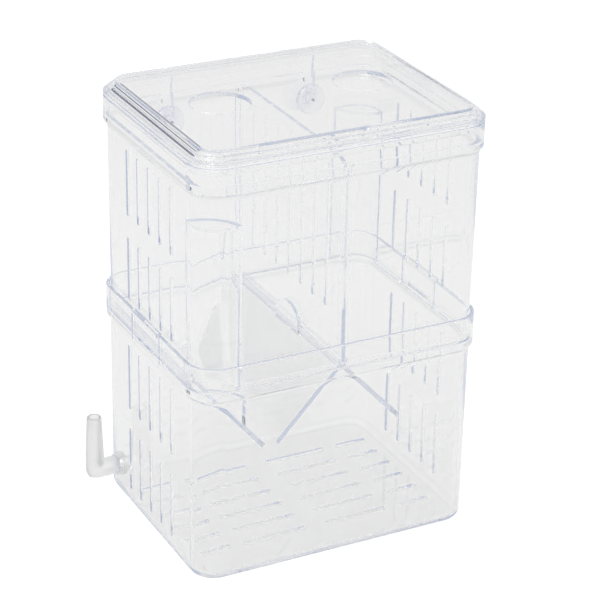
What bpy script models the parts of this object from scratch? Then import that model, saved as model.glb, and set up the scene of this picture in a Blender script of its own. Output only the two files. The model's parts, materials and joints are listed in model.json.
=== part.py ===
"""Fish breeding box: two stacked clear tubs, a lid, a slotted divider and drop-through slope plates.

Metres, +Z up. The origin is the centre of the lower tub's foot, x runs along the long side and
-y is the plain front wall.
"""

import math

import bmesh
import bpy
from mathutils import Matrix, Vector

# Moulding
gap = 0.0003
fit_gap = 0.0004
wall = 0.0018
overrun = 0.004
bite = 0.0006
edge_round = 0.0006

# Rim outline shared by both tubs and the lid
rim_width = 0.1400
rim_depth = 0.1110
rim_corner_radius = 0.0137
rim_proud = 0.00175

# Lower tub
lower_height = 0.1047
lower_rim_height = 0.0156
lower_lean = 0.0002
seat_depth = 0.0121
floor_thickness = 0.0020
foot_round = 0.0036
floor_round = 0.0024
rim_fillet_height = 0.0032

# Upper tub
upper_height = 0.1022
upper_rim_height = 0.0118
lid_seat_depth = 0.0082
ledge_reach = 0.0017
ledge_thickness = 0.0011

# Vertical wall slots on both short sides
slot_width = 0.0020
slot_pitch = 0.0115
slots_each_side_of_middle = 2
slot_row_gap = 0.0101
slot_low_row_share = 0.493
slots_above_foot = 0.0085
slots_above_seat = 0.0126
slots_below_rim = 0.0059

# Floor slots
floor_slot_width = 0.0022
floor_slot_pitch = 0.01228
floor_slot_rows = 6
floor_slots_from_middle = 0.0049
floor_slots_from_side = 0.0106
floor_slot_bridge = 0.0065
floor_long_slot_share = 0.66

# Latch tongues in the lower rim
tongue_half_length = 0.0147
tongue_slit = 0.0010
tongue_root = 0.0012
tongue_bar_length = 0.0180
tongue_bar_height = 0.0018
tongue_bar_rise = 0.0047
tongue_lip_out = 0.0010
tongue_lip_up = 0.0010
tongue_lip_height = 0.0028

# Corner float chambers
chamber_radius = 0.0178
chamber_centre_in_x = 0.0037
chamber_centre_in_y = 0.0007
chamber_wall = 0.0015
chamber_below_rim = 0.0271

# Suction cups in the back wall
cup_spacing = 0.0712
cup_below_rim = 0.0206
cup_slot_width = 0.0053
cup_head_radius = 0.0072
cup_head_thickness = 0.0018
cup_collar_radius = 0.0043
cup_collar_length = 0.0012
cup_radius = 0.00925
cup_depth = 0.0052
cup_lip = 0.0006

# Lid
lid_flange_height = 0.0018
lid_step_rise = 0.0015
lid_step_run = 0.0018
lid_steps = 3
lid_plug_depth = 0.0036
lid_plug_thickness = 0.0016
lid_hole_radius = 0.0131
lid_hole_spacing = 0.0690
hole_bevel = 0.0004

# Divider
divider_thickness = 0.0018
divider_below_rim = 0.0072
divider_corner_radius = 0.0085
divider_slot_pitch = 0.0118
divider_slots_each_side_of_middle = 3
divider_slots_above_foot = 0.0203
divider_slots_below_top = 0.0062
guide_rib_width = 0.0012
guide_rib_proud = 0.0008
guide_rib_start = 0.0085

# Ridge plate
plate_thickness = 0.0020
ridge_half_span = 0.0308
ridge_drop = 0.0329
divider_play = 0.0004
ridge_rib_width = 0.0009
ridge_rib_height = 0.0015
ridge_rib_end = 0.0012
tab_half_length = 0.0110
tab_height = 0.0078
tab_thickness = 0.0015
tab_offset = -0.0035

# Left slope plate
fry_slit = 0.0050
slope_hook_reach = 0.0014
slope_hook_thickness = 0.0012
slope_hook_width = 0.0017
collar_inner_radius = 0.0200
collar_wall = 0.0015
collar_below_seat = 0.0058

# Air elbow low on the left wall
elbow_before_corner = 0.0033
elbow_z = 0.0140
elbow_bore_radius = 0.0023
elbow_spigot_radius = 0.0034
elbow_arm_radius = 0.00435
elbow_flange_radius = 0.0050
elbow_flange_thickness = 0.0012
elbow_reach = 0.0115
elbow_rise = 0.0275
elbow_tip_radius = 0.00345
elbow_bend_radius = 0.0052
elbow_inside = 0.0052
port_ring_radius = 0.0056
port_ring_thickness = 0.0022

# Facets
corner_steps = 7
round_steps = 4
slot_end_steps = 3
foot_steps = 6
cup_facets = 32
hole_facets = 48
elbow_facets = 24
bend_steps = 6
chamber_steps = 10

# Sizes that follow
half_width = rim_width / 2
half_depth = rim_depth / 2
seat_z = lower_height - seat_depth
upper_z = seat_z + gap
upper_top = upper_z + upper_height
lid_seat_z = upper_top - lid_seat_depth
ledge_top = upper_z + ledge_thickness
plug_inset = wall + fit_gap
upper_inner_inset = plug_inset + wall
ledge_inset = upper_inner_inset + ledge_reach
plates_z = ledge_top + gap
plate_half_depth = half_depth - ledge_inset - gap
ridge_rib_gap = divider_thickness + 2 * divider_play
slope_start = half_width - ledge_inset - gap
slope_run = slope_start - ridge_half_span - fry_slit
slope_drop = ridge_drop - gap
elbow_y = half_depth - rim_corner_radius - elbow_before_corner
apex_z = plates_z + gap
lower_foot_inset = rim_proud + lower_lean
cup_z = upper_top - cup_below_rim
divider_foot = apex_z + gap
divider_top = upper_top - divider_below_rim


def clear_scene():
    for obj in list(bpy.data.objects):
        bpy.data.objects.remove(obj, do_unlink=True)


def plastic(name, colour, alpha, roughness):
    material = bpy.data.materials.new(name)
    material.use_nodes = True
    shader = material.node_tree.nodes["Principled BSDF"]
    shader.inputs["Base Color"].default_value = (*colour, 1.0)
    shader.inputs["Roughness"].default_value = roughness
    shader.inputs["Alpha"].default_value = alpha
    return material


def object_of(name, mesh_data):
    """Puts a finished bmesh in the scene under one name."""
    mesh = bpy.data.meshes.new(name)
    mesh_data.to_mesh(mesh)
    mesh_data.free()
    obj = bpy.data.objects.new(name, mesh)
    bpy.context.scene.collection.objects.link(obj)
    return obj


def skin(mesh_data, rings, loop=False):
    """Faces between rings of equal length; a ring of one point is a pole. Open ends are capped."""
    made = [[mesh_data.verts.new(point) for point in ring] for ring in rings]
    pairs = list(zip(made, made[1:]))
    if loop:
        pairs.append((made[-1], made[0]))
    for low, high in pairs:
        count = max(len(low), len(high))
        for i in range(count):
            j = (i + 1) % count
            corners = [low[i % len(low)], low[j % len(low)], high[j % len(high)], high[i % len(high)]]
            mesh_data.faces.new(list(dict.fromkeys(corners)))
    if not loop and len(made[0]) > 1:
        mesh_data.faces.new(list(reversed(made[0])))
    if not loop and len(made[-1]) > 1:
        mesh_data.faces.new(made[-1])


def skinned(name, rings, loop=False):
    mesh_data = bmesh.new()
    skin(mesh_data, rings, loop)
    bmesh.ops.recalc_face_normals(mesh_data, faces=mesh_data.faces)
    return object_of(name, mesh_data)


def outline(inset):
    """The shared rim outline, moved inwards by inset, with concentric corners."""
    centre_x = half_width - rim_corner_radius
    centre_y = half_depth - rim_corner_radius
    radius = rim_corner_radius - inset
    points = []
    for quarter, (side_x, side_y) in enumerate(((1, 1), (-1, 1), (-1, -1), (1, -1))):
        for step in range(corner_steps + 1):
            angle = math.pi / 2 * (quarter + step / corner_steps)
            points.append(
                (side_x * centre_x + radius * math.cos(angle), side_y * centre_y + radius * math.sin(angle))
            )
    return points


def tub_rings(profile):
    return [[(x, y, z) for x, y in outline(inset)] for inset, z in profile]


def arc_profile(centre, radius_in, radius_z, start, end, steps=round_steps):
    """Points of an elliptic arc in (inset, z), angles in quarters of a turn."""
    points = []
    for step in range(steps + 1):
        angle = math.pi / 2 * (start + (end - start) * step / steps)
        points.append((centre[0] + radius_in * math.cos(angle), centre[1] + radius_z * math.sin(angle)))
    return points


def rim_profile(bottom, top, inner_inset):
    """The flared rim: concave fillet under it, upright face, rounded lip, then down inside to the seat."""
    points = arc_profile((0.0, bottom - rim_fillet_height), rim_proud, rim_fillet_height, 0, 1)[:-1]
    points.append((0.0, bottom + edge_round))
    points += arc_profile((edge_round, top - edge_round), edge_round, edge_round, 2, 1)
    points += arc_profile((wall - edge_round, top - edge_round), edge_round, edge_round, 1, 0)
    points.append((wall, inner_inset[1]))
    points.append(inner_inset)
    return points


def slot_points(half_length, half_width_of_slot):
    """An obround along the first axis."""
    points = []
    for side in (1, -1):
        for step in range(slot_end_steps + 1):
            angle = math.pi * (step / slot_end_steps - 1 / 2)
            along = side * (half_length - half_width_of_slot + half_width_of_slot * math.cos(angle))
            points.append((along, side * half_width_of_slot * math.sin(angle)))
    return points


def add_prism(mesh_data, points, place):
    """A closed prism: place(u, v, end) gives the corner for end 0 and end 1."""
    skin(mesh_data, [[place(u, v, end) for u, v in points] for end in (0, 1)])


def slot_rows(low, high):
    """Start and length of the two slot rows that share the height from low to high."""
    clear = high - low - slot_row_gap
    first = clear * slot_low_row_share
    return (low, first), (low + first + slot_row_gap, clear - first)


def add_upright_slots(mesh_data, start, length):
    """Cutters along x through both short walls, one for each slot of the row."""
    for i in range(-slots_each_side_of_middle, slots_each_side_of_middle + 1):
        reach = half_width + overrun
        middle = start + length / 2
        add_prism(
            mesh_data,
            slot_points(length / 2, slot_width / 2),
            lambda u, v, end: (reach * (2 * end - 1), i * slot_pitch + v, middle + u),
        )


def add_floor_slots(mesh_data):
    whole = half_width - floor_slots_from_side - floor_slots_from_middle - floor_slot_bridge
    long_slot = whole * floor_long_slot_share
    columns = (
        (floor_slots_from_middle, long_slot),
        (floor_slots_from_middle + long_slot + floor_slot_bridge, whole - long_slot),
    )
    for row in range(floor_slot_rows):
        y = (row - (floor_slot_rows - 1) / 2) * floor_slot_pitch
        for start, length in columns:
            for side in (1, -1):
                middle = side * (start + length / 2)
                add_prism(
                    mesh_data,
                    slot_points(length / 2, floor_slot_width / 2),
                    lambda u, v, end: (middle + u, y + v, end * (floor_thickness + 2 * overrun) - overrun),
                )


def add_block(mesh_data, low, high):
    size = Vector(high) - Vector(low)
    middle = (Vector(high) + Vector(low)) / 2
    matrix = Matrix.Translation(middle) @ Matrix.Diagonal((*size, 1.0))
    bmesh.ops.create_cube(mesh_data, size=1.0, matrix=matrix)


def add_tongue_cuts(mesh_data):
    """Two slits and a bar slot free each latch tongue from the rim."""
    outer = half_width + tongue_lip_out + overrun
    inner = half_width - wall - fit_gap / 2
    root_z = lower_height - lower_rim_height + tongue_root
    bar_z = root_z - tongue_root + tongue_bar_rise
    for side in (1, -1):
        near, far = sorted((side * inner, side * outer))
        for end in (1, -1):
            y = end * tongue_half_length
            add_block(
                mesh_data,
                (near, y - tongue_slit / 2, root_z),
                (far, y + tongue_slit / 2, lower_height + tongue_lip_up + overrun),
            )
        add_block(
            mesh_data,
            (near, -tongue_bar_length / 2, bar_z - tongue_bar_height / 2),
            (far, tongue_bar_length / 2, bar_z + tongue_bar_height / 2),
        )


def add_tongue_lips(mesh_data):
    """The thumb lip along the top of each latch tongue."""
    inner = half_width - wall
    base_z = lower_height - tongue_lip_height
    top_z = lower_height + tongue_lip_up
    points = (
        (inner + bite, base_z),
        (half_width - bite, base_z),
        (half_width + tongue_lip_out, lower_height - edge_round),
        (half_width + tongue_lip_out, top_z - edge_round),
        (half_width + tongue_lip_out - edge_round, top_z),
        (inner + edge_round, top_z),
        (inner + edge_round / 4, top_z - edge_round),
        (inner + edge_round / 4, lower_height - edge_round),
    )
    reach = tongue_half_length - tongue_slit / 2 - edge_round
    for side in (1, -1):
        add_prism(mesh_data, points, lambda u, v, end: (side * u, reach * (2 * end - 1), v))


def add_port_hole(mesh_data):
    """The round hole for the air elbow in the left wall."""
    radius = elbow_spigot_radius + gap
    rings = []
    for x in (-half_width - overrun, -half_width + lower_foot_inset + wall + overrun):
        ring = []
        for i in range(elbow_facets):
            angle = math.tau * i / elbow_facets
            ring.append((x, elbow_y + radius * math.cos(angle), elbow_z + radius * math.sin(angle)))
        rings.append(ring)
    skin(mesh_data, rings)


def helper(name, fill):
    """A hidden mesh for a Boolean, filled by the functions given."""
    mesh_data = bmesh.new()
    for build in fill:
        build(mesh_data)
    bmesh.ops.recalc_face_normals(mesh_data, faces=mesh_data.faces)
    obj = object_of(name, mesh_data)
    obj.hide_render = True
    obj.display_type = "WIRE"
    return obj


def combine(obj, operation, other):
    modifier = obj.modifiers.new(f"{operation.lower()} {other.name}", "BOOLEAN")
    modifier.operation = operation
    modifier.solver = "EXACT"
    modifier.object = other


def lower_box():
    foot = (lower_foot_inset + foot_round, foot_round)
    floor = (lower_foot_inset + wall + floor_round, floor_thickness + floor_round)
    profile = arc_profile(foot, foot_round, foot_round, 3, 2, foot_steps)
    profile += rim_profile(lower_height - lower_rim_height, lower_height, (rim_proud + wall, seat_z))
    profile += arc_profile(floor, floor_round, floor_round, 2, 3, foot_steps)
    obj = skinned("lower_box", tub_rings(profile))
    combine(obj, "UNION", helper("thumb_lips", [add_tongue_lips]))
    low_row, high_row = slot_rows(slots_above_foot, lower_height - lower_rim_height - slots_below_rim)
    cuts = [
        lambda m: add_upright_slots(m, *low_row),
        lambda m: add_upright_slots(m, *high_row),
        add_floor_slots,
        add_tongue_cuts,
        add_port_hole,
    ]
    combine(obj, "DIFFERENCE", helper("lower_cuts", cuts))
    return obj


def sector_points(radius, inset):
    """The quarter-round chamber's outline in the +x +y corner, bounded by the rim outline at inset."""
    centre_x = half_width - chamber_centre_in_x
    centre_y = half_depth - chamber_centre_in_y
    side_x = half_width - inset
    side_y = half_depth - inset
    start = math.pi + math.asin((centre_y - side_y) / radius)
    end = math.pi * 3 / 2 + math.asin((side_x - centre_x) / radius)
    points = []
    for step in range(chamber_steps + 1):
        angle = start + (end - start) * step / chamber_steps
        points.append((centre_x + radius * math.cos(angle), centre_y + radius * math.sin(angle)))
    corner = outline(inset)[: corner_steps + 1]
    return points + corner


def add_chambers(mesh_data, radius, inset, low, high):
    """The same prism in the front left and the back right corner."""
    for side in (1, -1):
        add_prism(
            mesh_data,
            sector_points(radius, inset),
            lambda u, v, end: (side * u, side * v, high if end else low),
        )


def add_guide_ribs(mesh_data):
    """Two low ribs on the front and back walls hold the divider's edges."""
    inner = half_depth - upper_inner_inset - guide_rib_proud
    outer = half_depth - upper_inner_inset + bite
    near = divider_thickness / 2 + gap
    for side_y in (1, -1):
        for side_x in (1, -1):
            x_low, x_high = sorted((side_x * near, side_x * (near + guide_rib_width)))
            y_low, y_high = sorted((side_y * inner, side_y * outer))
            add_block(
                mesh_data,
                (x_low, y_low, ledge_top + guide_rib_start),
                (x_high, y_high, lid_seat_z - edge_round),
            )


def add_cup_slots(mesh_data):
    """Open-topped slots in the back wall, round at the foot, for the suction cups' necks."""
    inner = half_depth - upper_inner_inset - overrun
    outer = half_depth + overrun
    radius = cup_slot_width / 2
    for side in (1, -1):
        points = [(radius, upper_top + overrun), (-radius, upper_top + overrun)]
        for step in range(corner_steps + 1):
            angle = math.pi * (1 + step / corner_steps)
            points.append((radius * math.cos(angle), cup_z + radius * math.sin(angle)))
        add_prism(
            mesh_data,
            points,
            lambda u, v, end: (side * cup_spacing / 2 + u, outer if end else inner, v),
        )


def upper_box():
    profile = [(ledge_inset, upper_z), (plug_inset + edge_round, upper_z)]
    profile.append((plug_inset, upper_z + edge_round))
    profile += rim_profile(upper_top - upper_rim_height, upper_top, (rim_proud + wall, lid_seat_z))
    profile += [(upper_inner_inset, ledge_top), (ledge_inset, ledge_top)]
    obj = skinned("upper_box", tub_rings(profile), loop=True)
    cap_z = upper_top - chamber_below_rim
    low_row, high_row = slot_rows(
        upper_z + slots_above_seat, upper_top - upper_rim_height - slots_below_rim
    )
    adds = [
        lambda m: add_chambers(m, chamber_radius, plug_inset + wall / 2, upper_z + bite, cap_z),
        add_guide_ribs,
    ]
    combine(obj, "UNION", helper("upper_adds", adds))
    cuts = [
        lambda m: add_chambers(
            m, chamber_radius - chamber_wall, upper_inner_inset, upper_z - overrun, cap_z - chamber_wall
        ),
        lambda m: add_upright_slots(m, *low_row),
        lambda m: add_upright_slots(m, *high_row),
        add_cup_slots,
    ]
    combine(obj, "DIFFERENCE", helper("upper_cuts", cuts))
    return obj


def add_lid_holes(mesh_data):
    """Two finger and feeding holes, with a small bevel at the top edge."""
    top = upper_top + gap + lid_flange_height + lid_steps * lid_step_rise
    levels = (
        (top - wall - overrun, lid_hole_radius),
        (top - hole_bevel, lid_hole_radius),
        (top, lid_hole_radius + hole_bevel),
        (top + overrun, lid_hole_radius + hole_bevel),
    )
    for side in (1, -1):
        rings = []
        for z, radius in levels:
            ring = []
            for i in range(hole_facets):
                angle = math.tau * i / hole_facets
                ring.append((side * lid_hole_spacing / 2 + radius * math.cos(angle), radius * math.sin(angle), z))
            rings.append(ring)
        skin(mesh_data, rings)


def lid():
    base = upper_top + gap
    plug_z = base - lid_plug_depth
    plug_inner = plug_inset + lid_plug_thickness
    top = base + lid_flange_height + lid_steps * lid_step_rise
    outer = [(plug_inset + edge_round / 2, plug_z), (plug_inset, plug_z + edge_round), (plug_inset, base)]
    outer += [(edge_round / 2, base), (0.0, base + edge_round / 2)]
    for step in range(lid_steps):
        z = base + lid_flange_height + step * lid_step_rise
        outer.append((step * lid_step_run, z - edge_round / 2))
        outer.append((step * lid_step_run + edge_round / 2, z))
        outer.append(((step + 1) * lid_step_run, z + edge_round / 2))
    outer.append((lid_steps * lid_step_run, top - edge_round / 2))
    outer.append((lid_steps * lid_step_run + edge_round / 2, top))
    inner = [(lid_steps * lid_step_run + wall, top - wall), (plug_inner, base), (plug_inner, plug_z)]
    obj = skinned("lid", tub_rings(inner + outer))
    combine(obj, "DIFFERENCE", helper("lid_cuts", [add_lid_holes]))
    return obj


def add_divider_slots(mesh_data):
    low = divider_foot + divider_slots_above_foot
    high = divider_top - divider_slots_below_top
    reach = divider_thickness / 2 + overrun
    for i in range(-divider_slots_each_side_of_middle, divider_slots_each_side_of_middle + 1):
        add_prism(
            mesh_data,
            slot_points((high - low) / 2, slot_width / 2),
            lambda u, v, end: (reach * (2 * end - 1), i * divider_slot_pitch + v, (low + high) / 2 + u),
        )


def divider():
    """A flat slotted wall with rounded top corners that stands in the ridge plate's channel."""
    low = divider_foot
    high = divider_top
    side = half_depth - upper_inner_inset - gap
    radius = divider_corner_radius
    points = [(-side, low), (side, low)]
    for direction in (1, -1):
        for step in range(corner_steps + 1):
            angle = math.pi / 2 * (step if direction > 0 else corner_steps - step) / corner_steps
            y = direction * (side - radius + radius * math.cos(angle))
            points.append((y, high - radius + radius * math.sin(angle)))
    mesh_data = bmesh.new()
    half = divider_thickness / 2
    add_prism(mesh_data, points, lambda u, v, end: (half * (2 * end - 1), u, v))
    bmesh.ops.recalc_face_normals(mesh_data, faces=mesh_data.faces)
    obj = object_of("divider", mesh_data)
    combine(obj, "DIFFERENCE", helper("divider_cuts", [add_divider_slots]))
    return obj


def add_ridge_ribs(mesh_data):
    """Twin ribs along the ridge form the divider's channel, and their ends rest on the ledge."""
    inner = ridge_rib_gap / 2
    outer = inner + ridge_rib_width
    end = plate_half_depth + gap + ridge_rib_end
    for side in (1, -1):
        x_low, x_high = sorted((side * inner, side * outer))
        add_block(mesh_data, (x_low, -end, plates_z), (x_high, end, apex_z + ridge_rib_height))


def add_ridge_roots(mesh_data):
    """Tie the ribs down into the sloping legs."""
    slope = ridge_drop / ridge_half_span
    inner = ridge_rib_gap / 2
    outer = inner + ridge_rib_width
    for side in (1, -1):
        x_low, x_high = sorted((side * inner, side * outer))
        add_block(
            mesh_data,
            (x_low + gap / 2, -plate_half_depth + gap, apex_z - slope * outer - plate_thickness / 2),
            (x_high - gap / 2, plate_half_depth - gap, apex_z + ridge_rib_height / 2),
        )


def add_tab(mesh_data):
    """The half-round finger tab on the left rib."""
    base_z = apex_z + ridge_rib_height / 2
    rise = tab_height + ridge_rib_height / 2
    near = ridge_rib_gap / 2 + gap / 3
    far = near + tab_thickness
    root_z = apex_z - far * ridge_drop / ridge_half_span - plate_thickness / 2
    points = [(tab_offset - tab_half_length, root_z), (tab_offset + tab_half_length, root_z)]
    for step in range(2 * corner_steps + 1):
        angle = math.pi * step / (2 * corner_steps)
        points.append((tab_offset + tab_half_length * math.cos(angle), base_z + rise * math.sin(angle)))
    add_prism(mesh_data, points, lambda u, v, end: (-(far if end else near), u, v))


def ridge_plate():
    """An inverted V on which the divider stands."""
    length = math.hypot(ridge_half_span, ridge_drop)
    down = ridge_drop / length
    out = ridge_half_span / length
    tip_z = apex_z - ridge_drop
    inner_tip = (ridge_half_span - plate_thickness * down, tip_z - plate_thickness * out)
    points = [(-ridge_half_span, tip_z), (0.0, apex_z), (ridge_half_span, tip_z), inner_tip]
    points += [(0.0, apex_z - plate_thickness / out), (-inner_tip[0], inner_tip[1])]
    mesh_data = bmesh.new()
    reach = plate_half_depth
    add_prism(mesh_data, points, lambda u, v, end: (u, reach * (2 * end - 1), v))
    bmesh.ops.recalc_face_normals(mesh_data, faces=mesh_data.faces)
    obj = object_of("ridge_plate", mesh_data)
    combine(obj, "UNION", helper("ridge_roots", [add_ridge_roots]))
    combine(obj, "UNION", helper("ridge_ribs", [add_ridge_ribs]))
    combine(obj, "UNION", helper("ridge_tab", [add_tab]))
    return obj


def collar_points(radius, lowest):
    """An arc of the collar in the -x -y corner, from the plate's front edge round to its left edge."""
    centre_x = -half_width + chamber_centre_in_x
    centre_y = -half_depth + chamber_centre_in_y
    start = math.asin((lowest - centre_y) / radius)
    points = []
    for step in range(chamber_steps + 1):
        angle = start + (math.pi / 2 - start) * step / chamber_steps
        points.append((centre_x + radius * math.cos(angle), centre_y + radius * math.sin(angle)))
    return points


def add_collar(mesh_data):
    outer = collar_points(collar_inner_radius + collar_wall, -plate_half_depth)
    inner = collar_points(collar_inner_radius - bite, -plate_half_depth)
    top = seat_z - collar_below_seat
    bottom = plates_z - slope_drop - plate_thickness
    add_prism(
        mesh_data, outer + list(reversed(inner)), lambda u, v, end: (u, v, top if end else bottom)
    )


def slope_offset(depth):
    """The slope's two ends, moved down square to it by depth: (x, z) at the left wall and at the tip."""
    length = math.hypot(slope_run, slope_drop)
    shift_x = -depth * slope_drop / length
    shift_z = -depth * slope_run / length
    start = -slope_start
    return (
        (start + shift_x, plates_z + shift_z),
        (start + slope_run + shift_x, plates_z - slope_drop + shift_z),
    )


def add_below_slope(mesh_data):
    """Everything under the middle of the plate, taken off the collar."""
    high, low = slope_offset(plate_thickness / 2)
    slope = slope_drop / slope_run
    far_left = high[0] - overrun
    far_right = low[0] + overrun
    bottom = low[1] - slope * overrun - plate_thickness - overrun
    points = [
        (far_left, high[1] + slope * overrun),
        (far_right, low[1] - slope * overrun),
        (far_right, bottom),
        (far_left, bottom),
    ]
    reach = half_depth + overrun
    add_prism(mesh_data, points, lambda u, v, end: (u, reach * (2 * end - 1), v))


def add_collar_notch(mesh_data):
    """The quarter-round opening in the plate around the corner chamber."""
    centre_x = -half_width + chamber_centre_in_x
    centre_y = -half_depth + chamber_centre_in_y
    points = []
    count = 4 * chamber_steps
    for i in range(count):
        angle = math.tau * i / count
        points.append(
            (centre_x + collar_inner_radius * math.cos(angle), centre_y + collar_inner_radius * math.sin(angle))
        )
    low = plates_z - slope_drop - plate_thickness - overrun
    high = plates_z + slope_hook_thickness + overrun
    add_prism(mesh_data, points, lambda u, v, end: (u, v, high if end else low))


def add_corner_trim(mesh_data):
    """Everything outside the upper tub's ledge and inner wall, so the plate's corners follow theirs."""
    ledge_side = ledge_inset + gap / 2
    wall_side = upper_inner_inset + gap / 2
    low = plates_z - slope_drop - plate_thickness - overrun
    step_z = plates_z - gap / 2
    high = plates_z + slope_hook_thickness + overrun
    profile = [(-overrun, low), (ledge_side, low), (ledge_side, step_z)]
    profile += [(wall_side, step_z), (wall_side, high), (-overrun, high)]
    skin(mesh_data, tub_rings(profile), loop=True)


def left_slope_plate():
    """Slopes from the left wall to the slit beside the ridge, hooked over the ledge."""
    slope = slope_drop / slope_run
    start = -slope_start
    hook_x = start - gap - slope_hook_reach
    crest_x = start + slope_hook_width - slope_hook_reach
    foot_x = crest_x + slope_hook_thickness / 2
    tip_z = plates_z - slope_drop
    low_tip = slope_offset(plate_thickness)[1]
    length = math.hypot(slope_run, slope_drop)
    points = [
        (hook_x, plates_z),
        (hook_x, plates_z + slope_hook_thickness),
        (crest_x, plates_z + slope_hook_thickness),
        (foot_x, plates_z - slope * (foot_x - start)),
        (start + slope_run, tip_z),
        low_tip,
        (start, plates_z - plate_thickness * length / slope_run),
        (start, plates_z),
    ]
    mesh_data = bmesh.new()
    reach = plate_half_depth
    add_prism(mesh_data, points, lambda u, v, end: (u, reach * (2 * end - 1), v))
    bmesh.ops.recalc_face_normals(mesh_data, faces=mesh_data.faces)
    obj = object_of("left_slope_plate", mesh_data)
    collar = helper("slope_collar", [add_collar])
    combine(collar, "DIFFERENCE", helper("below_slope", [add_below_slope]))
    combine(obj, "UNION", collar)
    combine(obj, "DIFFERENCE", helper("corner_trim", [add_corner_trim]))
    combine(obj, "DIFFERENCE", helper("collar_notch", [add_collar_notch]))
    return obj


def elbow_ring(centre, tangent, radius):
    """A circle of points square to the tangent, which lies in the xz plane."""
    side = Vector((0.0, 1.0, 0.0))
    up = side.cross(tangent)
    ring = []
    for i in range(elbow_facets):
        angle = math.tau * i / elbow_facets
        ring.append(centre + radius * (math.cos(angle) * side + math.sin(angle) * up))
    return ring


def elbow_path():
    """Centre, tangent and outer radius along the elbow, from inside the tub to the upright tip."""
    wall_x = -half_width + rim_proud + lower_lean * (1 - elbow_z / lower_height)
    face_x = wall_x - gap
    spigot_end = wall_x + wall + elbow_inside
    out = Vector((-1.0, 0.0, 0.0))
    upright = Vector((0.0, 0.0, 1.0))
    corner_x = wall_x - elbow_reach
    path = [
        (Vector((spigot_end, elbow_y, elbow_z)), out, elbow_spigot_radius - edge_round),
        (Vector((spigot_end - edge_round, elbow_y, elbow_z)), out, elbow_spigot_radius),
        (Vector((face_x, elbow_y, elbow_z)), out, elbow_spigot_radius),
        (Vector((face_x, elbow_y, elbow_z)), out, elbow_flange_radius),
        (Vector((face_x - elbow_flange_thickness, elbow_y, elbow_z)), out, elbow_flange_radius),
        (Vector((face_x - elbow_flange_thickness, elbow_y, elbow_z)), out, elbow_arm_radius),
    ]
    centre = Vector((corner_x + elbow_bend_radius, elbow_y, elbow_z + elbow_bend_radius))
    for step in range(bend_steps + 1):
        angle = math.pi / 2 * step / bend_steps
        tangent = Vector((-math.cos(angle), 0.0, math.sin(angle)))
        offset = Vector((-math.sin(angle), 0.0, -math.cos(angle))) * elbow_bend_radius
        path.append((centre + offset, tangent, elbow_arm_radius))
    tip_z = elbow_z + elbow_rise
    path.append((Vector((corner_x, elbow_y, tip_z - edge_round)), upright, elbow_tip_radius))
    path.append((Vector((corner_x, elbow_y, tip_z)), upright, elbow_tip_radius - edge_round / 2))
    return path


def air_elbow():
    """A tapered elbow that swivels in the port hole, with one bore from end to end."""
    path = elbow_path()
    outer = [elbow_ring(centre, tangent, radius) for centre, tangent, radius in path]
    smooth = [path[0]] + path[6:-2] + [path[-1]]
    inner = [elbow_ring(centre, tangent, elbow_bore_radius) for centre, tangent, _ in reversed(smooth)]
    return skinned("air_elbow", outer + inner, loop=True)


def turned(name, profile, centre, axis):
    """A body turned about an axis through centre: profile holds (radius, distance along the axis)."""
    turn = Vector((0.0, 0.0, 1.0)).rotation_difference(Vector(axis)).to_matrix()
    rings = []
    for radius, along in profile:
        if radius == 0:
            rings.append([Vector(centre) + turn @ Vector((0.0, 0.0, along))])
            continue
        ring = []
        for i in range(cup_facets):
            angle = math.tau * i / cup_facets
            ring.append(
                Vector(centre) + turn @ Vector((radius * math.cos(angle), radius * math.sin(angle), along))
            )
        rings.append(ring)
    return skinned(name, rings, loop=profile[0][0] > 0)


def air_port_ring():
    """The ring that holds the elbow from inside the lower tub."""
    wall_x = -half_width + rim_proud + lower_lean * (1 - elbow_z / lower_height)
    start = lower_lean / 2 + gap
    end = start + port_ring_thickness
    bore = elbow_spigot_radius + gap
    profile = [
        (bore, start),
        (port_ring_radius, start),
        (port_ring_radius, end - edge_round),
        (port_ring_radius - edge_round, end),
        (bore, end),
    ]
    return turned("air_port_ring", profile, (wall_x + wall, elbow_y, elbow_z), (1.0, 0.0, 0.0))


def suction_cup(name, side):
    """A soft cup outside the back wall, its neck in the slot and its head inside."""
    inner_face = half_depth - upper_inner_inset - gap
    back_face = half_depth + gap
    neck = cup_slot_width / 2 - gap
    head_end = inner_face - cup_head_thickness
    collar_end = back_face + cup_collar_length
    rim_y = collar_end + cup_depth
    profile = [
        (0.0, head_end),
        (cup_head_radius - edge_round, head_end),
        (cup_head_radius, head_end + edge_round),
        (cup_head_radius, inner_face),
        (neck, inner_face),
        (neck, back_face),
        (cup_collar_radius, back_face),
        (cup_collar_radius, collar_end),
    ]
    for step in range(1, round_steps + 1):
        share = step / round_steps
        radius = cup_collar_radius + (cup_radius - cup_collar_radius) * share
        profile.append((radius, collar_end + (cup_depth - cup_lip) * share**1.6))
    profile.append((cup_radius, rim_y))
    for step in range(round_steps):
        share = 1 - (step + 1) / (round_steps + 1)
        radius = (cup_radius - cup_lip) * share
        profile.append((radius, collar_end + cup_lip + (cup_depth - cup_lip) * share**1.6))
    profile.append((0.0, collar_end + cup_lip))
    return turned(name, profile, (side * cup_spacing / 2, 0.0, cup_z), (0.0, 1.0, 0.0))


def smooth_rounds(obj, degrees):
    """Smooth shading with hard edges kept where faces meet at more than the angle."""
    for polygon in obj.data.polygons:
        polygon.use_smooth = True
    limit = math.radians(degrees)
    mesh_data = bmesh.new()
    mesh_data.from_mesh(obj.data)
    for edge in mesh_data.edges:
        if len(edge.link_faces) == 2 and edge.calc_face_angle(0.0) > limit:
            edge.smooth = False
    mesh_data.to_mesh(obj.data)
    mesh_data.free()


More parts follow.
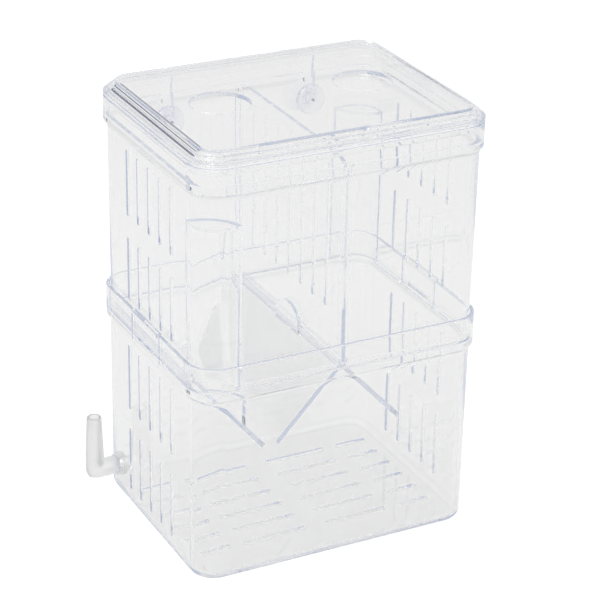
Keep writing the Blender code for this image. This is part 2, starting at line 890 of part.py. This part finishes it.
def main():
    clear_scene()
    bpy.context.scene.unit_settings.scale_length = 1.0
    clear = (0.86, 0.89, 0.93)
    frosted = (0.80, 0.82, 0.86)
    pieces = [
        (lower_box(), clear, 0.3, 0.08),
        (upper_box(), clear, 0.3, 0.08),
        (lid(), clear, 0.3, 0.08),
        (divider(), clear, 0.35, 0.1),
        (ridge_plate(), clear, 0.4, 0.1),
        (left_slope_plate(), clear, 0.4, 0.1),
        (air_elbow(), frosted, 0.6, 0.35),
        (air_port_ring(), frosted, 0.6, 0.35),
        (suction_cup("suction_cup_left", -1), frosted, 0.5, 0.3),
        (suction_cup("suction_cup_right", 1), frosted, 0.5, 0.3),
    ]
    for obj, colour, alpha, roughness in pieces:
        obj.data.materials.append(plastic(f"{obj.name}_plastic", colour, alpha, roughness))
        smooth_rounds(obj, 35)


main()
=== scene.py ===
"""Looks of the fish breeding box: clear tubs, frosted elbow and soft cups."""

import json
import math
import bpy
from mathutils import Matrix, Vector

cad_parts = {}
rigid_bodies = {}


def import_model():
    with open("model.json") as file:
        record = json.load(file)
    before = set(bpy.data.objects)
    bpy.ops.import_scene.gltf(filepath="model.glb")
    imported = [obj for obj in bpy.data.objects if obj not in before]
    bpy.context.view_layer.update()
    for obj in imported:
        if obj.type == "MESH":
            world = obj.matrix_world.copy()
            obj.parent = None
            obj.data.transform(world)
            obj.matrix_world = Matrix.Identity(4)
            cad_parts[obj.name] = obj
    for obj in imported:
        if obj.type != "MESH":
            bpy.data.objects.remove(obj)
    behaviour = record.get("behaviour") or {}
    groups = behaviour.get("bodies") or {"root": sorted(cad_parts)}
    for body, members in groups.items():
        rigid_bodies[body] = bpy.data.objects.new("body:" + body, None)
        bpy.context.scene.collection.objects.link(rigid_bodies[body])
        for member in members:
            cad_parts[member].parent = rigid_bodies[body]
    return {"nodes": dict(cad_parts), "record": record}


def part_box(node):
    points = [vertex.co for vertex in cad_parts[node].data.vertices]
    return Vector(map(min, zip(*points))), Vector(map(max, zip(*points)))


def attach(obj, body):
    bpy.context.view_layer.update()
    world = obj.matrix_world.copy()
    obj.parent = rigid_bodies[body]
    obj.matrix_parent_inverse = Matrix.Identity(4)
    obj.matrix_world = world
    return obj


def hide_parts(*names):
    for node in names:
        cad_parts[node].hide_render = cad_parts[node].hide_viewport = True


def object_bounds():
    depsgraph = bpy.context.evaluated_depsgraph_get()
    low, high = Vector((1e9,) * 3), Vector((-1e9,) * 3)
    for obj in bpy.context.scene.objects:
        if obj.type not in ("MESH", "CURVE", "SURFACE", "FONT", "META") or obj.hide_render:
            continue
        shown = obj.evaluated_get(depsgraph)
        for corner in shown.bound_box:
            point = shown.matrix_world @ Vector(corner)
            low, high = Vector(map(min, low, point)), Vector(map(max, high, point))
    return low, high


bl_info = {
    "name": "Fish Breeding Box",
    "version": (1, 0, 0),
    "blender": (4, 5, 0),
    "location": "View3D > Sidebar > Breeding Box",
    "description": "Dresses a fish breeding box in clear, frosted and soft plastics",
    "category": "Object",
}

import bmesh
import bpy
from bpy.props import FloatProperty, FloatVectorProperty, PointerProperty
from mathutils import Matrix, Vector

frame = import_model()
cad_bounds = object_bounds()

BODY_OF = {
    node: body
    for body, nodes in frame["record"]["behaviour"]["bodies"].items()
    for node in nodes
}
CLEAR_NODES = (
    "lower_box",
    "upper_box",
    "lid",
    "divider",
    "ridge_plate",
    "left_slope_plate",
)
WHITE = (1.0, 1.0, 1.0, 1.0)

# Meshes, in metres
MERGE_DISTANCE = 2e-6
CLEAR_SHARP_ANGLE = math.radians(32)
FITTING_SHARP_ANGLE = math.radians(40)

# The elbow's bend, in metres
ELBOW_AXIS_HEIGHT = 0.0140
ELBOW_BEND_RADIUS = 0.0052
ELBOW_ARM_RADIUS = 0.00435
ELBOW_SQUARENESS = 5.0
BEND_CUTS = 2
BEND_TOLERANCE = 1e-6

# Plastics: rays deeper than the glow depth show a painted glow in the edge tint, in place
# of light caught inside
FLOW_STRETCH = (1.0, 1.0, 0.35)
MARK_COVER = (0.45, 0.75)
FAINTEST_TONE = 0.992
BUMP_DISTANCE = 0.002
PAINTED_GLOW_DEPTH = 18
STYRENE_FLOW = {
    "Wave Scale": 16.0,
    "Mark Scale": 260.0,
    "Polish": 0.012,
    "Haze": 0.05,
    "Grain": 0.03,
}
FROSTED_FLOW = {
    "Wave Scale": 90.0,
    "Mark Scale": 1900.0,
    "Polish": 0.28,
    "Haze": 0.12,
    "Grain": 0.10,
}
VINYL_FLOW = {
    "Wave Scale": 120.0,
    "Mark Scale": 600.0,
    "Polish": 0.05,
    "Haze": 0.12,
    "Grain": 0.05,
}

# Stage
FLOOR_HALF_WIDTH = 6.0
FLOOR_CELLS = 8
FLOOR_GAP = 0.0001
FLOOR_GREY = (0.5, 0.5, 0.5, 1.0)
FLOOR_GLOW = 0.30
FLOOR_GLOW_IN_PLASTIC = 0.40
FLOOR_GLOW_TO_CAMERA = 0.66
ZENITH_GAIN = 1.35
KEY_SIZE = (0.9, 0.7)
KEY_PLACE = (-0.7, -0.5, 1.1)
KEY_DIRECTION = (-0.7, -0.5, 1.0)
SENSOR_WIDTH = 36.0
NEAR_CLIP = 0.01
LIGHT_BOUNCES = 40


class BreedingBoxPlastic(bpy.types.PropertyGroup):
    """Colours and strengths of the moulded plastics."""

    clear_tint: FloatVectorProperty(
        name="Clear tint",
        description="Colour of the clear plastic where it is looked straight through",
        subtype="COLOR",
        default=(1.0, 1.0, 0.997),
        min=0.0,
        max=1.0,
    )
    # Painted glow: colour that deep rays in the plastic emit, in place of light caught in
    # its edges
    painted_edge_glow: FloatVectorProperty(
        name="Edge tint",
        description="Colour of the light that is caught in the plastic's edges",
        subtype="COLOR",
        default=(0.69, 0.73, 0.81),
        min=0.0,
        max=1.0,
    )
    frosted_tint: FloatVectorProperty(
        name="Frosted tint",
        description="Colour of the airline elbow and its ring",
        subtype="COLOR",
        default=(1.0, 1.0, 1.0),
        min=0.0,
        max=1.0,
    )
    soft_tint: FloatVectorProperty(
        name="Soft tint",
        description="Colour of the suction cups",
        subtype="COLOR",
        default=(0.975, 0.975, 0.99),
        min=0.0,
        max=1.0,
    )


class BreedingBoxStage(bpy.types.PropertyGroup):
    """Camera, floor and light of the product shot."""

    azimuth: FloatProperty(
        name="Azimuth",
        description="Camera's turn about the vertical, 0 looking along +Y",
        default=math.radians(-27.83),
        subtype="ANGLE",
    )
    elevation: FloatProperty(
        name="Elevation",
        description="Camera's height angle",
        default=math.radians(24.92),
        subtype="ANGLE",
    )
    roll: FloatProperty(
        name="Roll",
        description="Camera's turn about its own axis",
        default=math.radians(1.37),
        subtype="ANGLE",
    )
    place: FloatVectorProperty(
        name="Camera place",
        description="Where the camera stands",
        default=(-0.4158, -0.8054, 0.5322),
        subtype="TRANSLATION",
    )
    lens: FloatProperty(
        name="Lens",
        description="Focal length in millimetres",
        default=133.7,
    )
    shift: FloatVectorProperty(
        name="Shift",
        description="Frame shift, in widths of the frame",
        default=(-0.0120, -0.0300),
        size=2,
    )
    world_strength: FloatProperty(
        name="World strength",
        description="Strength of the studio's all-round light",
        default=0.80,
    )
    seen_strength: FloatProperty(
        name="Backdrop through plastic",
        description="How bright the backdrop is through the plastic or mirrored in it",
        default=0.75,
    )
    flag_tint: FloatVectorProperty(
        name="Flag tint",
        description="Colour of the dark card",
        subtype="COLOR",
        default=(0.07, 0.09, 0.17),
        min=0.0,
        max=1.0,
    )
    flag_azimuth: FloatProperty(
        name="Flag azimuth",
        description="Where the dark card stands, 0 along +Y",
        default=math.radians(28),
        subtype="ANGLE",
    )
    flag_elevation: FloatProperty(
        name="Flag elevation",
        description="Height angle of the dark card",
        default=math.radians(12),
        subtype="ANGLE",
    )
    flag_reach: FloatVectorProperty(
        name="Flag reach",
        description="Angles from the card's middle where it fades and where it ends",
        default=(math.radians(9), math.radians(14)),
        size=2,
        subtype="NONE",
    )
    key_power: FloatProperty(
        name="Key power",
        description="Power of the large soft lamp",
        default=6.0,
        unit="POWER",
    )


def settings():
    return bpy.context.scene.breeding_box_plastic


def stage_settings():
    return bpy.context.scene.breeding_box_stage


def add_node(tree, kind, **values):
    """Adds a shader node and sets the inputs given by name."""
    node = tree.nodes.new(kind)
    for name, value in values.items():
        node.inputs[name].default_value = value
    return node


def merged_copy(node, name):
    """A copy of a node's mesh whose triangles share their corners."""
    source = frame["nodes"][node]
    mesh = source.data.copy()
    mesh.name = name
    obj = bpy.data.objects.new(name, mesh)
    bpy.context.scene.collection.objects.link(obj)
    shape = bmesh.new()
    shape.from_mesh(mesh)
    bmesh.ops.remove_doubles(shape, verts=shape.verts, dist=MERGE_DISTANCE)
    shape.to_mesh(mesh)
    shape.free()
    return obj


def soften_rounds(obj, limit):
    """Smooth shading, kept sharp where faces meet at more than the limit."""
    shape = bmesh.new()
    shape.from_mesh(obj.data)
    for face in shape.faces:
        face.smooth = True
    for edge in shape.edges:
        edge.smooth = not edge.is_manifold or edge.calc_face_angle(0.0) < limit
    shape.to_mesh(obj.data)
    shape.free()
    finish = obj.modifiers.new("Even normals", "WEIGHTED_NORMAL")
    finish.keep_sharp = True


def fill_out_bend(obj, low):
    """Squares the elbow's outer corner, where low is the low corner of its box."""
    middle_x = low[0] + ELBOW_ARM_RADIUS + ELBOW_BEND_RADIUS
    middle_z = ELBOW_AXIS_HEIGHT + ELBOW_BEND_RADIUS
    shape = bmesh.new()
    shape.from_mesh(obj.data)

    def in_bend(vert):
        return (
            vert.co.x < middle_x + BEND_TOLERANCE
            and vert.co.z < middle_z + BEND_TOLERANCE
        )

    bend = [edge for edge in shape.edges if all(in_bend(vert) for vert in edge.verts)]
    bmesh.ops.subdivide_edges(shape, edges=bend, cuts=BEND_CUTS, use_grid_fill=True)
    for vert in shape.verts:
        across, down = middle_x - vert.co.x, middle_z - vert.co.z
        reach = math.hypot(across, down)
        if across > 0.0 and down > 0.0:
            round_sum = (across / reach) ** ELBOW_SQUARENESS
            round_sum += (down / reach) ** ELBOW_SQUARENESS
            share = round_sum ** (-1.0 / ELBOW_SQUARENESS)
            vert.co.x = middle_x - across * share
            vert.co.z = middle_z - down * share
    shape.to_mesh(obj.data)
    shape.free()


def new_group(name, inputs, outputs):
    """A shader group; inputs are (name, type, default), outputs (name, type)."""
    group = bpy.data.node_groups.new(name, "ShaderNodeTree")
    for label, kind, value in inputs:
        socket = group.interface.new_socket(label, in_out="INPUT", socket_type=kind)
        socket.default_value = value
    for label, kind in outputs:
        group.interface.new_socket(label, in_out="OUTPUT", socket_type=kind)
    return group, group.nodes.new("NodeGroupInput"), group.nodes.new("NodeGroupOutput")


def link_chain(tree, *pairs):
    """Links each pair of sockets, given as (from, to)."""
    for source, target in pairs:
        tree.links.new(source, target)


def moulding_flow_group():
    """Long soft waves from the plastic's flow in the mould, and handling marks."""
    group, inside, outside = new_group(
        "moulding_flow",
        (
            ("Vector", "NodeSocketVector", (0.0, 0.0, 0.0)),
            *((name, "NodeSocketFloat", value) for name, value in STYRENE_FLOW.items()),
            ("Tint", "NodeSocketColor", WHITE),
        ),
        (
            ("Height", "NodeSocketFloat"),
            ("Roughness", "NodeSocketFloat"),
            ("Color", "NodeSocketColor"),
        ),
    )
    nodes = group.nodes
    stretch = nodes.new("ShaderNodeMapping")
    stretch.inputs["Scale"].default_value = FLOW_STRETCH
    waves = add_node(group, "ShaderNodeTexNoise", Detail=1.5, Roughness=0.4)
    marks = add_node(
        group, "ShaderNodeTexNoise", Detail=4.0, Roughness=0.6, Distortion=0.6
    )
    cover = nodes.new("ShaderNodeMapRange")
    cover.inputs["From Min"].default_value = MARK_COVER[0]
    cover.inputs["From Max"].default_value = MARK_COVER[1]
    haze = nodes.new("ShaderNodeMath")
    haze.operation = "MULTIPLY_ADD"
    fine = nodes.new("ShaderNodeMath")
    fine.operation = "MULTIPLY_ADD"
    tone = nodes.new("ShaderNodeMapRange")
    tone.inputs["To Min"].default_value = FAINTEST_TONE
    tone.inputs["To Max"].default_value = 1.0
    shade = nodes.new("ShaderNodeMix")
    shade.data_type = "RGBA"
    shade.blend_type = "MULTIPLY"
    shade.inputs["Factor"].default_value = 1.0
    link_chain(
        group,
        (inside.outputs["Vector"], stretch.inputs["Vector"]),
        (stretch.outputs["Vector"], waves.inputs["Vector"]),
        (inside.outputs["Wave Scale"], waves.inputs["Scale"]),
        (inside.outputs["Vector"], marks.inputs["Vector"]),
        (inside.outputs["Mark Scale"], marks.inputs["Scale"]),
        (marks.outputs["Fac"], cover.inputs["Value"]),
        (cover.outputs["Result"], haze.inputs[0]),
        (inside.outputs["Haze"], haze.inputs[1]),
        (inside.outputs["Polish"], haze.inputs[2]),
        (haze.outputs[0], outside.inputs["Roughness"]),
        (marks.outputs["Fac"], fine.inputs[0]),
        (inside.outputs["Grain"], fine.inputs[1]),
        (waves.outputs["Fac"], fine.inputs[2]),
        (fine.outputs[0], outside.inputs["Height"]),
        (waves.outputs["Fac"], tone.inputs["Value"]),
        (inside.outputs["Tint"], shade.inputs["A"]),
        (tone.outputs["Result"], shade.inputs["B"]),
        (shade.outputs["Result"], outside.inputs["Color"]),
    )
    return group


def see_through_plastic(
    name, tint, flow_values, *, ior, relief, depth_tint, depth_density
):
    """A plastic that light passes, coloured where light runs far inside it, and painted
    with an edge-tint glow on deep rays.
    """
    material = bpy.data.materials.new(name)
    material.use_nodes = True
    tree = material.node_tree
    shader = tree.nodes["Principled BSDF"]
    shader.inputs["IOR"].default_value = ior
    shader.inputs["Transmission Weight"].default_value = 1.0
    place = tree.nodes.new("ShaderNodeTexCoord")
    flow = tree.nodes.new("ShaderNodeGroup")
    flow.node_tree = bpy.data.node_groups["moulding_flow"]
    for socket, value in flow_values.items():
        flow.inputs[socket].default_value = value
    flow.inputs["Tint"].default_value = (*tint, 1.0)
    bump = tree.nodes.new("ShaderNodeBump")
    bump.inputs["Strength"].default_value = relief
    bump.inputs["Distance"].default_value = BUMP_DISTANCE
    path = tree.nodes.new("ShaderNodeLightPath")
    clear = tree.nodes.new("ShaderNodeBsdfTransparent")
    through = tree.nodes.new("ShaderNodeMixShader")
    # Painted glow: rays deeper than the glow depth are replaced by an emission in the edge
    # tint, standing in for light caught in the plastic
    deep = tree.nodes.new("ShaderNodeMath")
    deep.operation = "GREATER_THAN"
    deep.inputs[1].default_value = PAINTED_GLOW_DEPTH
    glow = tree.nodes.new("ShaderNodeEmission")
    glow.inputs["Color"].default_value = (*settings().painted_edge_glow, 1.0)
    painted_glow_switch = tree.nodes.new("ShaderNodeMixShader")
    absorb = tree.nodes.new("ShaderNodeVolumeAbsorption")
    absorb.inputs["Color"].default_value = (*depth_tint, 1.0)
    absorb.inputs["Density"].default_value = depth_density
    output = tree.nodes["Material Output"]
    link_chain(
        tree,
        (place.outputs["Object"], flow.inputs["Vector"]),
        (flow.outputs["Color"], shader.inputs["Base Color"]),
        (flow.outputs["Roughness"], shader.inputs["Roughness"]),
        (flow.outputs["Height"], bump.inputs["Height"]),
        (bump.outputs["Normal"], shader.inputs["Normal"]),
        (path.outputs["Is Shadow Ray"], through.inputs["Fac"]),
        (shader.outputs["BSDF"], through.inputs[1]),
        (clear.outputs["BSDF"], through.inputs[2]),
        (path.outputs["Ray Depth"], deep.inputs[0]),
        (deep.outputs[0], painted_glow_switch.inputs["Fac"]),
        (through.outputs["Shader"], painted_glow_switch.inputs[1]),
        (glow.outputs["Emission"], painted_glow_switch.inputs[2]),
        (painted_glow_switch.outputs["Shader"], output.inputs["Surface"]),
        (absorb.outputs["Volume"], output.inputs["Volume"]),
    )
    return material


def clear_styrene():
    """Hard clear styrene of the tubs, the lid and the inserts."""
    return see_through_plastic(
        "clear_plastic",
        settings().clear_tint,
        STYRENE_FLOW,
        ior=1.52,
        relief=0.05,
        depth_tint=(0.53, 0.58, 0.73),
        depth_density=6.0,
    )


def frosted_plastic():
    """Milky plastic of the airline elbow, with a fine eroded skin."""
    return see_through_plastic(
        "frosted_plastic",
        settings().frosted_tint,
        FROSTED_FLOW,
        ior=1.46,
        relief=0.30,
        depth_tint=(0.80, 0.80, 0.82),
        depth_density=2.0,
    )


def soft_vinyl():
    """Soft clear vinyl of the suction cups, a little cloudy."""
    return see_through_plastic(
        "soft_vinyl",
        settings().soft_tint,
        VINYL_FLOW,
        ior=1.48,
        relief=0.10,
        depth_tint=(0.55, 0.60, 0.85),
        depth_density=30.0,
    )


class BREEDINGBOX_OT_clear_parts(bpy.types.Operator):
    """Dress the tubs, the lid and the inserts in clear plastic"""

    bl_idname = "breeding_box.clear_parts"
    bl_label = "Clear parts"

    def execute(self, context):
        moulding_flow_group()
        material = clear_styrene()
        for node in CLEAR_NODES:
            piece = merged_copy(node, f"{node}_clear")
            soften_rounds(piece, CLEAR_SHARP_ANGLE)
            piece.data.materials.clear()
            piece.data.materials.append(material)
            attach(piece, BODY_OF[node])
            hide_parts(node)
        return {"FINISHED"}


class BREEDINGBOX_OT_fittings(bpy.types.Operator):
    """Dress the elbow, its ring and the suction cups"""

    bl_idname = "breeding_box.fittings"
    bl_label = "Fittings"

    def execute(self, context):
        frosted, vinyl = frosted_plastic(), soft_vinyl()
        finishes = (
            ("air_elbow", frosted, "frosted_plastic"),
            ("air_port_ring", frosted, "frosted_plastic"),
            ("suction_cup_left", vinyl, "soft_rubber"),
            ("suction_cup_right", vinyl, "soft_rubber"),
        )
        for node, finish, slot in finishes:
            piece = merged_copy(node, f"{node}_finished")
            if node == "air_elbow":
                fill_out_bend(piece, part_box(node)[0])
            soften_rounds(piece, FITTING_SHARP_ANGLE)
            piece.data.materials.clear()
            piece.data.materials.append(finish)
            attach(piece, BODY_OF[node])
            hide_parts(node)
        return {"FINISHED"}


def camera_matrix(values):
    """The camera's turn and place, from azimuth, elevation and roll."""
    turn = (
        Matrix.Rotation(values.azimuth, 4, "Z")
        @ Matrix.Rotation(math.pi / 2 - values.elevation, 4, "X")
        @ Matrix.Rotation(values.roll, 4, "Z")
    )
    return Matrix.Translation(Vector(values.place)) @ turn


def seen_in_plastic(tree):
    """Two sockets: 1 for camera rays, and 1 for rays passed or mirrored."""
    path = tree.nodes.new("ShaderNodeLightPath")
    either = tree.nodes.new("ShaderNodeMath")
    either.operation = "MAXIMUM"
    link_chain(
        tree,
        (path.outputs["Is Glossy Ray"], either.inputs[0]),
        (path.outputs["Is Transmission Ray"], either.inputs[1]),
    )
    return path.outputs["Is Camera Ray"], either.outputs[0]


def pale_floor_material():
    """A floor that is white to the camera and pale grey through the plastic."""
    material = bpy.data.materials.new("pale_floor")
    material.use_nodes = True
    tree = material.node_tree
    shader = tree.nodes["Principled BSDF"]
    shader.inputs["Base Color"].default_value = FLOOR_GREY
    shader.inputs["Roughness"].default_value = 0.9
    shader.inputs["Specular IOR Level"].default_value = 0.0
    camera, plastic = seen_in_plastic(tree)
    dim = tree.nodes.new("ShaderNodeMapRange")
    dim.inputs["To Min"].default_value = FLOOR_GLOW
    dim.inputs["To Max"].default_value = FLOOR_GLOW_IN_PLASTIC
    lift = tree.nodes.new("ShaderNodeMapRange")
    lift.inputs["To Max"].default_value = FLOOR_GLOW_TO_CAMERA
    glow = tree.nodes.new("ShaderNodeEmission")
    add = tree.nodes.new("ShaderNodeAddShader")
    link_chain(
        tree,
        (plastic, dim.inputs["Value"]),
        (camera, lift.inputs["Value"]),
        (dim.outputs["Result"], lift.inputs["To Min"]),
        (lift.outputs["Result"], glow.inputs["Strength"]),
        (shader.outputs["BSDF"], add.inputs[0]),
        (glow.outputs["Emission"], add.inputs[1]),
        (add.outputs["Shader"], tree.nodes["Material Output"].inputs["Surface"]),
    )
    return material


def add_floor(scene):
    """The pale floor, just clear of the object's foot."""
    shape = bmesh.new()
    bmesh.ops.create_grid(
        shape, x_segments=FLOOR_CELLS, y_segments=FLOOR_CELLS, size=FLOOR_HALF_WIDTH
    )
    down_to_foot = (0.0, 0.0, cad_bounds[0][2] - FLOOR_GAP)
    bmesh.ops.translate(shape, verts=shape.verts, vec=down_to_foot)
    mesh = bpy.data.meshes.new("pale_floor")
    shape.to_mesh(mesh)
    shape.free()
    floor = bpy.data.objects.new("pale_floor", mesh)
    scene.collection.objects.link(floor)
    mesh.materials.append(pale_floor_material())


def add_world(scene, values):
    """White to the camera; pale grey with a dark card to rays in the plastic."""
    world = bpy.data.worlds.new("studio")
    scene.world = world
    world.use_nodes = True
    tree = world.node_tree
    tree.nodes.clear()
    around = add_node(tree, "ShaderNodeBackground", Strength=values.world_strength)
    backdrop = add_node(tree, "ShaderNodeBackground", Strength=values.seen_strength)
    white = add_node(tree, "ShaderNodeBackground", Strength=1.0)
    for background in (around, backdrop, white):
        background.inputs["Color"].default_value = WHITE
    place = tree.nodes.new("ShaderNodeTexCoord")
    height = tree.nodes.new("ShaderNodeSeparateXYZ")
    climb = tree.nodes.new("ShaderNodeMapRange")
    climb.inputs["To Min"].default_value = values.seen_strength
    climb.inputs["To Max"].default_value = values.seen_strength * ZENITH_GAIN
    turn = Matrix.Rotation(values.flag_azimuth, 3, "Z")
    tilt = Matrix.Rotation(values.flag_elevation, 3, "X")
    flag = tree.nodes.new("ShaderNodeVectorMath")
    flag.operation = "DOT_PRODUCT"
    flag.inputs[1].default_value = turn @ tilt @ Vector((0.0, 1.0, 0.0))
    card = tree.nodes.new("ShaderNodeMapRange")
    card.inputs["From Min"].default_value = math.cos(values.flag_reach[1])
    card.inputs["From Max"].default_value = math.cos(values.flag_reach[0])
    shaded = tree.nodes.new("ShaderNodeMix")
    shaded.data_type = "RGBA"
    shaded.inputs["A"].default_value = WHITE
    shaded.inputs["B"].default_value = (*values.flag_tint, 1.0)
    camera, plastic = seen_in_plastic(tree)
    inner = tree.nodes.new("ShaderNodeMixShader")
    outer = tree.nodes.new("ShaderNodeMixShader")
    output = tree.nodes.new("ShaderNodeOutputWorld")
    link_chain(
        tree,
        (place.outputs["Generated"], height.inputs["Vector"]),
        (height.outputs["Z"], climb.inputs["Value"]),
        (place.outputs["Generated"], flag.inputs[0]),
        (flag.outputs["Value"], card.inputs["Value"]),
        (card.outputs["Result"], shaded.inputs["Factor"]),
        (shaded.outputs["Result"], backdrop.inputs["Color"]),
        (climb.outputs["Result"], backdrop.inputs["Strength"]),
        (plastic, inner.inputs["Fac"]),
        (around.outputs["Background"], inner.inputs[1]),
        (backdrop.outputs["Background"], inner.inputs[2]),
        (camera, outer.inputs["Fac"]),
        (inner.outputs["Shader"], outer.inputs[1]),
        (white.outputs["Background"], outer.inputs[2]),
        (outer.outputs["Shader"], output.inputs["Surface"]),
    )


def add_key_lamp(scene, values):
    """A large soft lamp, up at the left and in front."""
    lamp = bpy.data.lights.new("key", "AREA")
    lamp.shape = "RECTANGLE"
    lamp.size, lamp.size_y = KEY_SIZE
    lamp.energy = values.key_power
    key = bpy.data.objects.new("key", lamp)
    scene.collection.objects.link(key)
    aim = Vector(KEY_DIRECTION).to_track_quat("Z", "Y").to_matrix().to_4x4()
    key.matrix_world = Matrix.Translation(KEY_PLACE) @ aim


def add_camera(scene, values):
    """The product shot's camera, made the scene's own."""
    data = bpy.data.cameras.new("product_camera")
    data.lens = values.lens
    data.sensor_width = SENSOR_WIDTH
    data.sensor_fit = "HORIZONTAL"
    data.shift_x, data.shift_y = values.shift
    data.clip_start = NEAR_CLIP
    camera = bpy.data.objects.new("product_camera", data)
    scene.collection.objects.link(camera)
    camera.matrix_world = camera_matrix(values)
    scene.camera = camera


class BREEDINGBOX_OT_stage(bpy.types.Operator):
    """Build the pale floor, the soft light and the camera"""

    bl_idname = "breeding_box.stage"
    bl_label = "Stage"

    def execute(self, context):
        values = stage_settings()
        scene = context.scene
        add_floor(scene)
        add_world(scene, values)
        add_key_lamp(scene, values)
        add_camera(scene, values)
        scene.cycles.max_bounces = LIGHT_BOUNCES
        scene.cycles.transmission_bounces = LIGHT_BOUNCES
        scene.cycles.glossy_bounces = LIGHT_BOUNCES
        scene.cycles.transparent_max_bounces = LIGHT_BOUNCES
        scene.view_settings.view_transform = "Standard"
        return {"FINISHED"}


class BREEDINGBOX_PT_panel(bpy.types.Panel):
    """Lists the steps in the sidebar"""

    bl_label = "Breeding Box"
    bl_space_type = "VIEW_3D"
    bl_region_type = "UI"
    bl_category = "Breeding Box"

    def draw(self, context):
        column = self.layout.column()
        for operator in OPERATORS:
            column.operator(operator.bl_idname)
        for group in (settings(), stage_settings()):
            for name in group.__annotations__:
                column.prop(group, name)


OPERATORS = (BREEDINGBOX_OT_clear_parts, BREEDINGBOX_OT_fittings, BREEDINGBOX_OT_stage)
CLASSES = (BreedingBoxPlastic, BreedingBoxStage, *OPERATORS, BREEDINGBOX_PT_panel)


def register():
    for cls in CLASSES:
        bpy.utils.register_class(cls)
    bpy.types.Scene.breeding_box_plastic = PointerProperty(type=BreedingBoxPlastic)
    bpy.types.Scene.breeding_box_stage = PointerProperty(type=BreedingBoxStage)


def unregister():
    del bpy.types.Scene.breeding_box_stage
    del bpy.types.Scene.breeding_box_plastic
    for cls in reversed(CLASSES):
        bpy.utils.unregister_class(cls)


def main():
    for obj in list(bpy.data.objects):
        if obj.name in ("Cube", "Light", "Camera"):
            bpy.data.objects.remove(obj, do_unlink=True)
    register()
    bpy.ops.breeding_box.clear_parts()
    bpy.ops.breeding_box.fittings()
    bpy.ops.breeding_box.stage()


if __name__ == "__main__":
    main()
